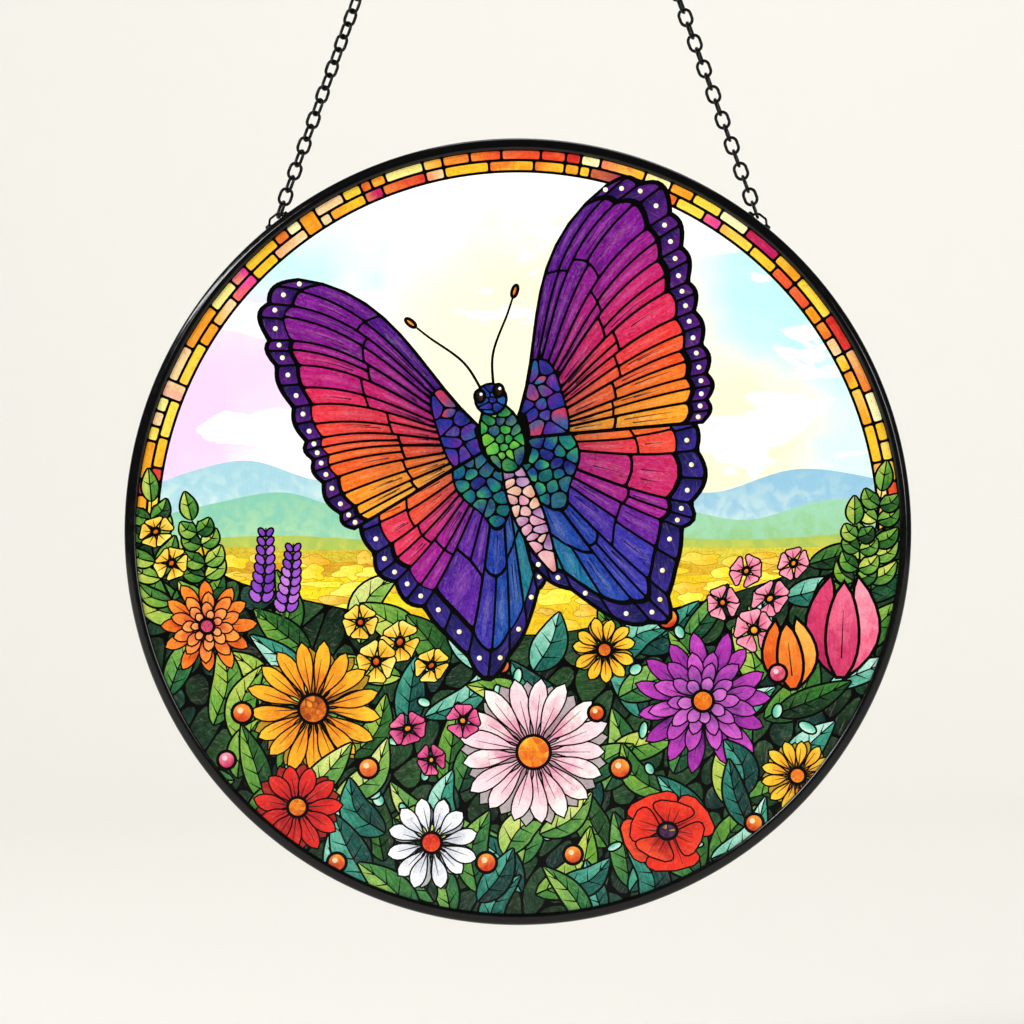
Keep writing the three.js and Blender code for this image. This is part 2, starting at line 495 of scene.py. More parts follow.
lay(brick_outline(BORDER_RADIUS, PICTURE_RADIUS + 1, BORDER_START - 1, BORDER_STOP + 1), BLACK)
row_ends = [BORDER_START, BORDER_START]
while min(row_ends) < BORDER_STOP:
    row = int(row_ends[1] < row_ends[0])
    start = row_ends[row]
    if abs(row_ends[0] - row_ends[1]) < 0.25 and rng.random() < 0.12:
        stop = start + rng.uniform(1.6, 2.6)
        lay_brick(BRICK_ROWS[1][0], BRICK_ROWS[0][1], start, stop)
        row_ends = [stop + BRICK_JOINT, stop + BRICK_JOINT]
        continue
    stop = start + rng.choice([1.9, 2.6, 3.4, 4.4, 5.6, 6.6])
    beside = row_ends[1 - row] - BRICK_JOINT
    if abs(beside - stop) < 0.9:
        stop = beside
    if stop - start < 1.0:
        stop = start + 1.6
    lay_brick(*BRICK_ROWS[row], start, stop)
    row_ends[row] = stop + BRICK_JOINT

# ---- Printed picture: leaves ----
# The lower half is packed with leaves, each with a black line round it, a midrib, side veins
# and one half lighter than the other.

GREENS = ["#12301c", "#1c4a26", "#2e6a30", "#4a8f3c", "#7ab048", "#a9c95a", "#d6dc72"]
TEALS = ["#0d3a38", "#14564e", "#227a6c", "#48a890", "#8cd2bc", "#d0f0e4"]
MIXED_GREENS = ["#103a28", "#1f6642", "#559a4c", "#a2c866", "#e6ea9a"]


def leaf(base, tip, width, colours, bend, veins, light):
    """A leaf of two halves. light is how far along the colours it starts."""
    span = tip - base
    rib = curve([base, base + span * (0.5 + 1j * bend), tip], 8)
    share = np.linspace(0, 1, len(rib))
    half = width / 2 * np.sin(np.pi * share**0.8) ** 0.85
    heading = np.gradient(rib)
    side_step = 1j * heading / abs(heading) * half
    lay(band(rib, half + LINE / 2), BLACK)
    for flip in (1, -1):
        side = rib + flip * side_step
        tone = light + 0.16 * flip + rng.uniform(-0.08, 0.08)
        half_leaf = inset(np.concatenate([side, rib[::-1]]), 0.17)
        lay(half_leaf, from_row(colours, tone), from_row(colours, tone + 0.22), (base, tip), 1)
        for k in np.linspace(0, len(rib) - 1, veins + 1).astype(int)[1:-1]:
            reach = min(k + 2, len(rib) - 1)
            end = rib[reach] + (side[reach] - rib[reach]) * 0.86
            if abs(end - rib[k]) > 1.2:
                stroke(np.linspace(rib[k], end, 3), FINE_LINE, 0.1)
    stroke(rib[:-2], 0.5, 0.15)


def frond(base, tip, width, colours):
    """A stem with pairs of leaves and one at its tip."""
    pairs = 5
    span = tip - base
    stem = curve([base, base + span * (0.5 + 1j * rng.uniform(-0.15, 0.15)), tip], 8)
    stroke(stem, 0.9, 0.3)
    for k in range(pairs):
        at = stem[int((0.18 + 0.78 * k / pairs) * (len(stem) - 1))]
        reach = span * (0.30 - 0.13 * k / pairs)
        for flip in (-1, 1):
            leaf(at, at + reach * ray(flip * 48), width, colours, 0.14 * flip, 2, rng.uniform(0.2, 0.8))
    leaf(stem[-3], tip + span / abs(span) * width, width, colours, 0, 2, 0.6)


def scatter_leaves(region, spacing, lengths, widths, choices):
    """Leaves all over a region that fan out from below its middle."""
    for row, y in enumerate(np.arange(8, -99, -spacing * 0.8)):
        for x in np.arange(-99, 99, spacing):
            wander = rng.uniform(-0.4, 0.4, 2) * spacing
            spot = x + wander[0] + 0.5 * spacing * (row % 2) + 1j * (y + wander[1])
            if abs(spot) > 99 or not inside(spot, region)[0]:
                continue
            reach = ray(90 + rng.uniform(-65, 65) - 0.35 * spot.real) * rng.uniform(*lengths)
            colours = choices[rng.integers(len(choices))]
            veins = int(abs(reach) / 3.6)
            bend, light = rng.uniform(-0.22, 0.22), rng.uniform(0.15, 0.75)
            leaf(spot - reach * 0.4, spot + reach * 0.6, rng.uniform(*widths), colours, bend, veins, light)


# ---- Printed picture: flowers ----
# Each flower is a ring or rings of petals round an eye. Petals run from a deeper colour at the
# eye to a paler one at the tip, with a crease or two down the middle.


def petal_outline(base, tip, width, point, notch, bend):
    """A petal. point moves its widest place towards the tip, and notch cuts the tip."""
    span = tip - base
    t = np.linspace(0, 1, 9)
    half = width / 2 * np.sin(np.pi * t ** (0.5 + point)) ** 0.62
    half[0] = width * 0.14
    rib = base + span * t + 1j * span * bend * np.sin(np.pi * t)
    side = 1j * span / abs(span) * half
    end = [tip - span * notch] if notch else [tip]
    return np.concatenate([(rib - side)[:-1], end, (rib + side)[:-1][::-1]])


def tilted(middle, squash, lean):
    """A map that shows a flat flower turned away: squashed across a line leaning by degrees."""
    turn = ray(lean)

    def tilt(z):
        return middle + ((z / turn).real + 1j * (z / turn).imag * squash) * turn

    return tilt


def petals(tilt, start, stop, width, count, colours, point, notch=0.0, offset=0.0, creases=1, uneven=0.06):
    """A ring of petals in mixed order, so that they overlap one another here and there."""
    for k in rng.permutation(count):
        way = ray(360 / count * (k + rng.uniform(-0.12, 0.12)) + offset)
        reach = stop * (1 + rng.uniform(-uneven, uneven))
        bend = rng.uniform(-0.05, 0.05)
        outline = tidy(tilt(petal_outline(way * start, way * reach, width, point, notch, bend)))
        tone = rng.uniform(0, 1)
        inner, outer = from_row(colours[0], tone), from_row(colours[1], tone)
        lay(outline, BLACK)
        lay(inset(outline, LINE / 2), inner, outer, (tilt(way * start), tilt(way * reach)), 0.7)
        for crease in range(creases):
            side = 1j * way * (crease - (creases - 1) / 2) * 0.45 * width / creases
            begin, end = way * start * 1.02 + side * 0.4, way * reach * rng.uniform(0.6, 0.82) + side
            stroke(tilt(np.linspace(begin, end, 4)), FINE_LINE, 0.1, tint(inner, "#1a0a10", 0.75))


def flower_eye(tilt, radius, colours):
    """The round middle of a flower, pebbled if it is big enough."""
    ring = tilt(radius * ray(np.linspace(0, 360, 24, endpoint=False)))
    middle = tilt(0)
    pane(ring, colours[0], colours[1], (middle + 1j * radius, middle - 1j * radius))
    if radius > 1.6:
        for cell in pebbles(inset(ring, LINE / 2), radius * 0.42, 0.3):
            tone = rng.random()
            lay(cell, from_row(colours, tone), from_row(colours, tone * 0.6))


def daisy(middle, radius, colours, eye_colours, count, point=0.95):
    """Two rings of long petals, the ring behind in shadow."""
    tilt = tilted(middle, 1, 0)
    width = 2 * math.pi * radius * 0.72 / count
    shadowed = [[tint(colour, "#000000", 0.25) for colour in row] for row in colours]
    petals(tilt, radius * 0.2, radius * 0.96, width, count, shadowed, point, 0, 180 / count, 0)
    petals(tilt, radius * 0.2, radius, width, count, colours, point, 0, rng.uniform(0, 40))
    flower_eye(tilt, radius * 0.22, eye_colours)


def dahlia(middle, radius, colours, eye_colours, count):
    """Four rings of petals, each smaller and paler than the last."""
    tilt = tilted(middle, 1, 0)
    for ring, share in enumerate((1.0, 0.76, 0.54, 0.36)):
        paler = [[tint(colour, "#ffffff", 0.09 * ring) for colour in row] for row in colours]
        number = max(7, int(count * (1 - 0.16 * ring)))
        reach = radius * share
        width = 2 * math.pi * reach * 0.62 / number
        petals(tilt, reach * 0.25, reach, width, number, paler, 0.7, 0, 180 / number * ring, int(ring < 2))
    flower_eye(tilt, radius * 0.15, eye_colours)


def primrose(middle, radius, colours, eye_colours):
    """Five broad notched petals, turned away at random."""
    tilt = tilted(middle, rng.uniform(0.8, 1), rng.uniform(0, 90))
    petals(tilt, radius * 0.12, radius, radius * 1.02, 5, colours, 1.25, 0.14, rng.uniform(0, 72), 1, 0.04)
    flower_eye(tilt, radius * 0.2, eye_colours)


def poppy(middle, radius, colours, turn):
    """Two rings of four crumpled petals."""
    tilt = tilted(middle, 0.85, 0)
    petals(tilt, radius * 0.1, radius, radius * 1.15, 4, colours, 1.1, 0.06, turn, 3, 0.05)
    petals(tilt, radius * 0.1, radius * 0.8, radius * 0.9, 4, colours, 1.1, 0.06, turn + 45, 2, 0.05)
    flower_eye(tilt, radius * 0.2, ["#2b1a3a", "#5a2a5a", "#d9a83a"])


def tulip(base, tip, width, colours):
    """Two side petals that belly out, with one in front of them."""
    span = tip - base
    right = -1j * span / abs(span)
    for side in (-1, 1, 0):
        top = base + span * (1 - 0.06 * (side == 0)) + right * side * width * 0.26
        outline = petal_outline(base, top, width * (0.62 if side else 0.66), 0.3, 0, -0.15 * side)
        tone = 0.45 + 0.3 * side
        pane(outline, from_row(colours, tone - 0.2), from_row(colours, tone + 0.25), (base, top))
        stroke(np.linspace(base + (top - base) * 0.2, base + (top - base) * 0.7, 3))


def lavender(base, tip, colours):
    """A stem with pairs of small florets that shrink towards its tip."""
    stem = curve([base, (base + tip) / 2 + 0.6, tip], 10)
    stroke(stem, 0.9, 0.4, "#1c4a28")
    for k in range(len(stem) // 4, len(stem), 2):
        small = 2.3 * (1 - 0.5 * k / len(stem))
        for side in (-1, 1):
            floret = oval(stem[k] + side * small * 0.8, small, small * 0.66, -side * 35, 10)
            pane(floret, from_row(colours, rng.random()), line=0.45)


def berry(middle, radius, colours):
    """A round berry, darker below, with a bright spot."""
    pane(oval(middle, radius, radius), *colours, (middle + 1j * radius, middle - 1j * radius))
    shine = oval(middle + 0.3 * radius * ray(130), radius * 0.3, radius * 0.3, 0, 8)
    lay(shine, tint(colours[0], "#ffffff", 0.6))


# ---- Printed picture: garden ----
# A bank of dark leaves fills the lower half, then lighter leaves, then the flowers in front.

crest = [-99 + 4j, -86 - 4j, -70 - 13j, -46 - 19j, -20 - 24j, 6 - 26j]
crest += [32 - 21j, 56 - 15j, 78 - 7j, 99 + 5j]
garden_bank = tidy(np.concatenate([curve(crest, 6), arc(0, 101, -3, -177, 60)]))
lay(garden_bank, BLACK)
for cell in pebbles(garden_bank, 6.4, 0.6, 1.5, 60):
    deep = from_row(["#0a1d13", "#10301f", "#18402a", "#234c26", "#0c2c2c", "#14423e"], rng.random())
    lay(cell, deep, tint(deep, "#6fa35a", 0.22), None, 1)
scatter_leaves(garden_bank, 13, (15, 24), (5.5, 9), [GREENS, TEALS, MIXED_GREENS, GREENS])
for _ in range(30):
    spot = rng.uniform(30, 93) * ray(rng.uniform(-150, -30))
    if inside(spot, garden_bank)[0]:
        seed_pod = oval(spot, rng.uniform(1.4, 2.6), rng.uniform(0.9, 1.5), rng.uniform(0, 180), 14)
        pane(seed_pod, "#5ac0a8", "#c8f0dc", None, 0.5)
for base, tip in ((-86 - 22j, -93 + 12j), (-80 - 20j, -84 + 6j), (88 - 16j, 93 + 14j), (82 - 20j, 85 + 5j)):
    frond(base, tip, 4.4, GREENS)
for base, tip in ((-66 - 22j, -64 + 1j), (-60 - 24j, -57 - 3j)):
    lavender(base, tip, ["#7a3ab4", "#a35ad0", "#d08ae0"])

PINK_PETALS = [["#e0648e", "#ee86a6"], ["#f9c0cc", "#f7a8bc"]]
YELLOW_PETALS = [["#eaa81c", "#f4bc28"], ["#fbe35a", "#fdee8a"]]
GOLD_PETALS = [["#e89a1c", "#f0ac24"], ["#fbe04a", "#f8cc38"]]
AMBER_PETALS = [["#e07a14", "#ee9a20"], ["#fbcf38", "#f9b42c"]]
BLUSH_PETALS = [["#e39ab2", "#efc4d0"], ["#fffaf5", "#fae4ea"]]
WHITE_PETALS = [["#c8ccd8", "#dfe2ea"], ["#ffffff", "#f6f8fb"]]
SCARLET_PETALS = [["#a81420", "#c81e22"], ["#ee3a2c", "#e0302a"]]
MAGENTA_PETALS = [["#b01e6a", "#c8307a"], ["#ee6aa0", "#f48ab4"]]
AMBER_EYE = ["#f7b52c", "#e07f1e"]
for middle in (58 - 10j, 64 - 17j, 52 - 18j, 70 - 8j, 60 - 25j):
    primrose(middle, 5.6 * rng.uniform(0.85, 1.1), PINK_PETALS, AMBER_EYE)
for middle in (-30 - 28j, -40 - 23j, -36 - 33j, -22 - 34j, -92 + 0j, -88 - 8j):
    primrose(middle, 5.9 * rng.uniform(0.85, 1.1), YELLOW_PETALS, ["#e0701c", "#c8501c"])
daisy(22 - 30j, 8.5, GOLD_PETALS, ["#c8501c", "#f0902a"], 11)
dahlia(-79 - 24j, 12.5, [["#c83a10", "#e0581a"], ["#f58a2a", "#f9a53a"]], ["#b0285a", "#e0587a"], 12)
tulip(82 - 37j, 83 - 11j, 13, ["#b81e5a", "#e8507e", "#f9a8b8"])
tulip(70 - 40j, 68 - 22j, 10, ["#d84a12", "#f5842a", "#fbc05a"])
daisy(-52 - 45j, 17, AMBER_PETALS, ["#7a3210", "#d8701c", "#f0a030"], 17)
dahlia(47 - 43j, 18, [["#5a0f78", "#8a1a90"], ["#b436b4", "#d85ace"]], ["#f39a1f", "#d9601a"], 15)
low_bank = tidy([-70 - 60j, 70 - 60j, 60 - 99j, -60 - 99j])
scatter_leaves(low_bank, 16, (15, 22), (6, 9.5), [TEALS, TEALS, MIXED_GREENS])
daisy(4 - 56j, 19.5, BLUSH_PETALS, ["#f7a928", "#e0601c", "#f9c83a"], 17)
daisy(-56 - 70j, 11.5, SCARLET_PETALS, ["#f09a24", "#c85018"], 11, 0.6)
daisy(71 - 62j, 9.5, GOLD_PETALS, ["#e8701c", "#f0a02a"], 13)
for middle in (-22 - 58j, -14 - 48j, -28 - 50j):
    primrose(middle, 5.2 * rng.uniform(0.85, 1.1), MAGENTA_PETALS, AMBER_EYE)
poppy(38 - 76j, 12.5, [["#a8141a", "#d02418"], ["#f4542c", "#ee3a24"]], 20)
daisy(-22 - 79j, 12, WHITE_PETALS, ["#c8261c", "#ee5a2a"], 12, 1.0)
orange_berries = [-8 - 84j, 14 - 82j, 60 - 74j, -38 - 60j, 26 - 60j]
orange_berries += [-70 - 46j, -4 - 34j, 38 - 22j, 20 - 46j, -46 - 84j]
for middle in orange_berries:
    berry(middle, rng.uniform(2.0, 2.8), ["#f9a03a", "#d0401c"])
for middle in (66 - 36j, 54 - 84j, -74 - 58j):
    berry(middle, 2.3, ["#f48aa0", "#c02a5a"])

# ---- Printed picture: butterfly ----
# A large butterfly over the garden, its wings in long panes that run from violet through red
# to amber, with pebbled wing roots and body.

THORAX = -3 + 21j
BUTTERFLY_TURN = 0.86 * ray(17)
FORE_WING = ["#5b1a8c", "#8a1e98", "#bb2488", "#dc2d6c", "#ee4a48", "#f4742e", "#f99a2a", "#fbbd3a"]
HIND_WING = ["#f9a92e", "#f26a34", "#e2386a", "#b0259a", "#6a2aa8", "#2a4ab4", "#1678a8", "#149078"]
FORE_ROOT = ["#16246e", "#27359a", "#4a2a94", "#7a2a92", "#1c6a9a", "#c0406a"]
HIND_ROOT = ["#0f5a5e", "#138a6c", "#1a3f8c", "#3fae6a", "#22247e"]


def placed(flip, stretch):
    """A map from the butterfly's own right half to either side of the picture."""
    return lambda z: THORAX + BUTTERFLY_TURN * (flip * stretch * np.real(z) + 1j * np.imag(z))


def wing_field(root, lead, trail, reaches, bays, bow, scallop):
    """A map from (u, v) to the wing: u runs across from the leading edge, v out from the root."""
    wander = rng.uniform(-0.25, 0.25, bays + 1) / bays
    wander[[0, -1]] = 0
    edges = np.linspace(0, 1, bays + 1) + wander
    reach_line = curve(np.linspace(0, 1, len(reaches)) + 1j * np.array(reaches, float), 10)

    def at(u, v):
        u, v = np.broadcast_arrays(np.asarray(u, float), np.asarray(v, float))
        reach = np.interp(u, reach_line.real, reach_line.imag)
        bay = np.clip(np.searchsorted(edges, u, side="right") - 1, 0, bays - 1)
        share = (u - edges[bay]) / (edges[bay + 1] - edges[bay])
        bump = scallop * np.sin(np.pi * share) * v**3
        angle = lead + (trail - lead) * u + bow * (1 - u) * np.sin(np.pi * v * 0.9)
        return root + reach * (1 + bump) * v * ray(angle)

    return at, edges


def wing_cell(at, u0, u1, v0, v1, across=5, out=9):
    """The outline of the part of a wing between two values of u and two of v."""
    return np.concatenate(
        [
            at(np.linspace(u0, u1, across), v0)[:-1],
            at(u1, np.linspace(v0, v1, out))[:-1],
            at(np.linspace(u1, u0, across), v1)[:-1],
            at(u0, np.linspace(v1, v0, out))[:-1],
        ]
    )


def wing(place, field, colour, root_colours, breaks, margin_colours):
    """Long panes from the root to the margin, and short dark ones with a pale dot along it."""
    at, edges = field
    core, middle, margin = breaks
    bays = len(edges) - 1

    def point(u, v):
        return place(at(u, v))

    lay(inset(wing_cell(point, 0, 1, 0.02, 1, 8 * bays, 12), -LINE * 0.7), BLACK)
    for u0, u1 in zip(edges[:-1], edges[1:]):
        u = (u0 + u1) / 2
        cut = middle + 0.06 * math.sin(4 * u + 1) + rng.uniform(-0.04, 0.04)
        steps = [core, cut, margin + rng.uniform(-0.012, 0.012)]
        for v0, v1 in zip(steps[:-1], steps[1:]):
            halves = [u0, u1]
            if (u1 - u0) * v1 > 0.055 and rng.random() < 0.75:
                halves = [u0, u0 + (u1 - u0) * rng.uniform(0.4, 0.6), u1]
            gap = LINE * 0.5 if len(halves) == 2 else FINE_LINE * 0.75
            for a, b in zip(halves[:-1], halves[1:]):
                cell = rounded(inset(wing_cell(point, a, b, v0, v1), gap), 1.4)
                tone = (a + b) / 2 + rng.uniform(-0.05, 0.05)
                near, far = colour(tone, v0), colour(tone, v1)
                ends = (point((a + b) / 2, v0), point((a + b) / 2, v1))
                lay(tidy(cell), near, far, ends, 1)
                for layer in (1.0, 0.6):
                    glow = v0 + (v1 - v0) * (0.52 + 0.42 * layer * np.linspace(-1, 1, 7))
                    fullness = np.sin(np.linspace(0.1, 3.04, 7)) * 0.14 * layer
                    fullness = abs(point(a, v1) - point(b, v1)) * fullness
                    near, far = tint(near, "#ffc8e0", 0.1), tint(far, "#ffe0c4", 0.1)
                    lay(band(point((a + b) / 2, glow), fullness), near, far, ends, 1)
                near = colour(tone, v0)
                for _ in range(rng.integers(0, 3)):
                    side = a + (b - a) * rng.uniform(0.25, 0.75)
                    reach = v0 + (v1 - v0) * np.linspace(rng.uniform(0.1, 0.3), rng.uniform(0.5, 0.85), 4)
                    stroke(point(side, reach), FINE_LINE * 0.8, 0.08, tint(near, "#0a0418", 0.7))
        for a, b in ((u0, u), (u, u1)):
            cell = inset(wing_cell(point, a, b, margin + 0.006, 0.995, 5, 4), LINE * 0.42)
            lay(tidy(rounded(cell, 1.0)), margin_colours[0], margin_colours[1])
            lay(oval(point((a + b) / 2, (margin + 1) / 2), 0.62, 0.62, 0, 11), margin_colours[2], "#ffffff")
    root = tidy(wing_cell(point, 0.01, 0.99, 0.1, core, 14, 5))
    lay(inset(root, -0.2), BLACK)
    for cell in pebbles(root, 3.3, 0.46):
        tone = rng.random()
        lay(cell, from_row(root_colours, tone), from_row(root_colours, tone + 0.3))


def fore_colour(u, v):
    return tint(from_row(FORE_WING, u), "#2a1266", max(0, 0.7 - v) * 0.7)


def hind_colour(u, v):
    return tint(from_row(HIND_WING, u), "#16185e", max(0, 0.75 - v) * 0.5)


for place in (placed(-1, 0.86), placed(1, 1)):
    field = wing_field(2 + 0j, 10, -98, [44, 51, 55, 55, 57, 66, 47, 34], 8, -5, 0.045)
    wing(place, field, hind_colour, HIND_ROOT, (0.36, 0.62, 0.88), ("#1c1a5c", "#3a2a8a", "#fbe36a"))
    field = wing_field(2 + 2.6j, 48, -12, [80, 85, 78, 70, 65, 62, 60, 57], 9, 13, 0.03)
    wing(place, field, fore_colour, FORE_ROOT, (0.30, 0.58, 0.91), ("#2a145c", "#5a1e7e", "#fdf0b0"))


def pebbled(outline, size, colours, paler):
    """A part of the body: pebbles in a black line."""
    lay(inset(outline, -LINE * 0.6), BLACK)
    for cell in pebbles(outline, size, 0.42):
        tone = from_row(colours, rng.random())
        lay(cell, tint(tone, paler, 0.35), tone)


place = placed(1, 1)
lay(place(oval(3j, 9, 7.6)), BLACK)
share = np.linspace(0, 1, 15)
abdomen_line = -3j - 36j * share + 3.2 * share**2
abdomen = place(band(abdomen_line, 4.3 * np.sin(np.pi * (0.14 + 0.83 * share)) ** 0.8))
pebbled(abdomen, 2.6, ["#c98a90", "#e0b090", "#d88aa0", "#b07aa8", "#8a5a98"], "#ffffff")
for side in (-1, 1):
    feeler = place(curve([1.4 * side + 17j, 4.5 * side + 28j, 12 * side + 38j, 15.5 * side + 43j], 7))
    lay(band(feeler, np.linspace(0.37, 0.25, len(feeler))), BLACK)
    way = feeler[-1] - feeler[-4]
    club_turn = np.degrees(np.angle(way)) - 90
    pane(oval(feeler[-1] + way * 0.45, 1.6, 0.7, club_turn), "#d8641e", "#f7b23a")
pebbled(place(oval(3.5j, 10.5, 6.2)), 2.5, ["#0f6a4e", "#1f9a4a", "#7ac043", "#16507e", "#1a2a70"], "#a8d84a")
pebbled(place(oval(15.4j, 4.4, 4.5)), 2.0, ["#1a2a78", "#3a2a8c", "#1c5a9a"], "#2b6ad0")
for side in (-1, 1):
    bead = place(2.9 * side + 17.2j)
    pane(oval(bead, 1.6, 1.3), "#3a1c10", "#0c0806")
    lay(oval(bead + 0.35 + 0.5j, 0.4, 0.4, 0, 8), "#ffffff")

# ---- Printed picture: the sheets ----
# The patches are cut into triangles that meet edge to edge, and printed on the glass as three
# sheets of ink on the front (sky, colours and black lines) and one on the back.

INK_THICKNESS = 0.03 * MM
PICTURE_SEGMENTS = 540
GOLDEN_STEP = 0.754877
SEED_REACH = 40
MAP_WIDTH = 2.04 * PICTURE_RADIUS
loops, first_colours, second_colours, grains, figures = zip(*ink)


def topmost(spots):
    """The number of the patch that shows at each spot."""
    top = np.zeros(len(spots), int)
    order = np.argsort(spots.real)
    across = spots.real[order]
    for number in range(len(loops) - 1, 0, -1):
        loop = loops[number]
        low, high = np.searchsorted(across, [loop.real.min(), loop.real.max()])
        near = order[low:high]
        tall = (spots.imag[near] > loop.imag.min()) & (spots.imag[near] < loop.imag.max())
        near = near[(top[near] == 0) & tall]
        if len(near):
            top[near[inside(spots[near], loop)]] = number
    return top


def cut(points, sides):
    """Triangles over the panel that keep to the given sides, and the patch that each one shows."""
    places = [Vector((z.real, z.imag)) for z in points]
    corners, _, triangles = delaunay_2d_cdt(places, sides, [], 0, 1e-3, False)[:3]
    corners = np.array([complex(*corner) for corner in corners])
    triangles = np.array([list(triangle) for triangle in triangles])
    middles = corners[triangles].mean(1)
    shown = topmost(middles)
    shown[abs(middles) > PICTURE_RADIUS] = -1
    return corners, triangles, shown


def borders(triangles, shown):
    """The sides of triangles with another patch, or no patch, beyond them."""
    sides = np.sort(np.concatenate([triangles[:, [0, 1]], triangles[:, [1, 2]], triangles[:, [2, 0]]]), 1)
    owners = np.tile(shown, 3)
    order = np.lexsort((sides[:, 1], sides[:, 0]))
    sides, owners = sides[order], owners[order]
    twins = (sides[1:] == sides[:-1]).all(1)
    return sides[:-1][twins & (owners[1:] != owners[:-1])]


def straightened(corners, sides, slack=0.008):
    """The sides without corners that a straight line can do without."""
    links = {}
    for a, b in sides.tolist():
        links.setdefault(a, set()).add(b)
        links.setdefault(b, set()).add(a)
    for middle in list(links):
        if len(links[middle]) != 2:
            continue
        a, b = links[middle]
        chord = corners[b] - corners[a]
        if b in links[a] or abs(((corners[middle] - corners[a]) * np.conj(chord)).imag) > slack * abs(chord):
            continue
        links[a].remove(middle)
        links[b].remove(middle)
        links[a].add(b)
        links[b].add(a)
        del links[middle]
    return [(a, b) for a, ends in links.items() for b in ends if a < b]


outlines = [arc(0, PICTURE_RADIUS, 0, 360, PICTURE_SEGMENTS + 1)[:-1]]
outlines += [tidy(loop, 0.04) for loop in loops[1:]]
outlines = [loop for loop in outlines if len(loop) > 2]
starts = np.cumsum([0] + [len(loop) for loop in outlines])
sides = [(s + k, s + (k + 1) % len(loop)) for s, loop in zip(starts, outlines) for k in range(len(loop))]
corners, triangles, shown = cut(np.concatenate(outlines), sides)
sides = straightened(corners, borders(triangles, shown))
kept = np.unique(sides)
corners, triangles, shown = cut(corners[kept], np.searchsorted(kept, sides).tolist())
triangles, shown = triangles[shown >= 0], shown[shown >= 0]


def sheet(name, chosen, material, back=False):
    """A sheet of ink made of the chosen triangles, with each patch's colours and grain on it."""
    used, faces = np.unique(triangles[chosen], return_inverse=True)
    faces = faces.reshape(-1, 3)
    y = glass_low.y - INK_THICKNESS
    if back:
        faces = faces[:, ::-1]
        y = glass_high.y + INK_THICKNESS
    places = corners[used]
    mesh = bpy.data.meshes.new(name)
    points = np.stack([places.real * MM, np.full(len(used), y), places.imag * MM + panel_middle.z], 1)
    mesh.from_pydata(points.tolist(), [], faces.tolist())
    places = places[faces.ravel()]
    owners = shown[chosen]
    owners_of_corners = np.repeat(owners, 3)
    start, stop = np.array(grains)[owners_of_corners].T
    run = np.where(abs(stop - start) < 0.01, 0.01, stop - start)
    local = (places - start) * np.conj(run) / abs(run)
    seeds = (owners_of_corners * GOLDEN_STEP) % 1 * SEED_REACH
    tables = {
        "grain": ("FLOAT_VECTOR", "CORNER", "vector", np.stack([local.real, local.imag, seeds], 1)),
        "share": ("FLOAT", "CORNER", "value", local.real / abs(run)),
        "figure": ("FLOAT", "FACE", "value", np.array(figures)[owners]),
    }
    for label, colours in (("first_colour", first_colours), ("second_colour", second_colours)):
        paints = np.array([linear(colour) for colour in colours])
        tables[label] = ("FLOAT_COLOR", "FACE", "color", paints[owners])
    for label, (kind, domain, key, values) in tables.items():
        mesh.attributes.new(label, kind, domain).data.foreach_set(key, values.astype(np.float32).ravel())
    seen = (-np.conj(places) if back else places) / MAP_WIDTH + 0.5 + 0.5j
    flat_map = mesh.uv_layers.new(name="OFBake")
    flat_map.uv.foreach_set("vector", np.stack([seen.real, seen.imag], 1).astype(np.float32).ravel())
    made = new_object(name, mesh, material)
    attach(made, "root")
    return made


# Cured ink printed on glass: brush-soft colour that runs along each pane, with the streaks and
# veins of rolled art glass, under a thin clear gloss.
STREAK_LENGTH, STREAK_WIDTH = 7.0, 0.5
CLOUDING = 4.2
STONE_LENGTH, STONE_WIDTH = 1.7, 1.0
VEIN_SPACING = 1.9
INK_GLOSS = {"Roughness": 0.16, "IOR": 1.5, "Specular_IOR_Level": 0.25}


def maths(material, operation, *values):
    """The outcome of one sum on numbers."""
    return add(material, "ShaderNodeMath", {"operation": operation}, dict(enumerate(values))).outputs[0]


def vector_maths(material, operation, *values):
    """The outcome of one sum on vectors."""
    return add(material, "ShaderNodeVectorMath", {"operation": operation}, dict(enumerate(values))).outputs[0]


def blended(material, share, under, over, blend="MIX"):
    """A colour with a share of another laid over it."""
    settings = {"data_type": "RGBA", "blend_type": blend}
    return add(material, "ShaderNodeMix", settings, {"Factor": share, 6: under, 7: over}).outputs[2]


def noise(material, vector, scale, detail, distortion=0.0):
    """Noise over a vector, scaled on each of its axes, from about 0.25 to 0.75."""
    scaled = vector_maths(material, "MULTIPLY", vector, scale)
    inputs = {"Vector": scaled, "Scale": 1.0, "Detail": detail, "Distortion": distortion}
    return add(material, "ShaderNodeTexNoise", None, inputs).outputs["Fac"]


def ranged(material, value, low, high, to_low, to_high):
    """A value taken smoothly from one range to another, and held at its ends."""
    inputs = {"Value": value, "From Min": low, "From Max": high, "To Min": to_low, "To Max": to_high}
    return add(material, "ShaderNodeMapRange", {"interpolation_type": "SMOOTHSTEP"}, inputs).outputs[0]


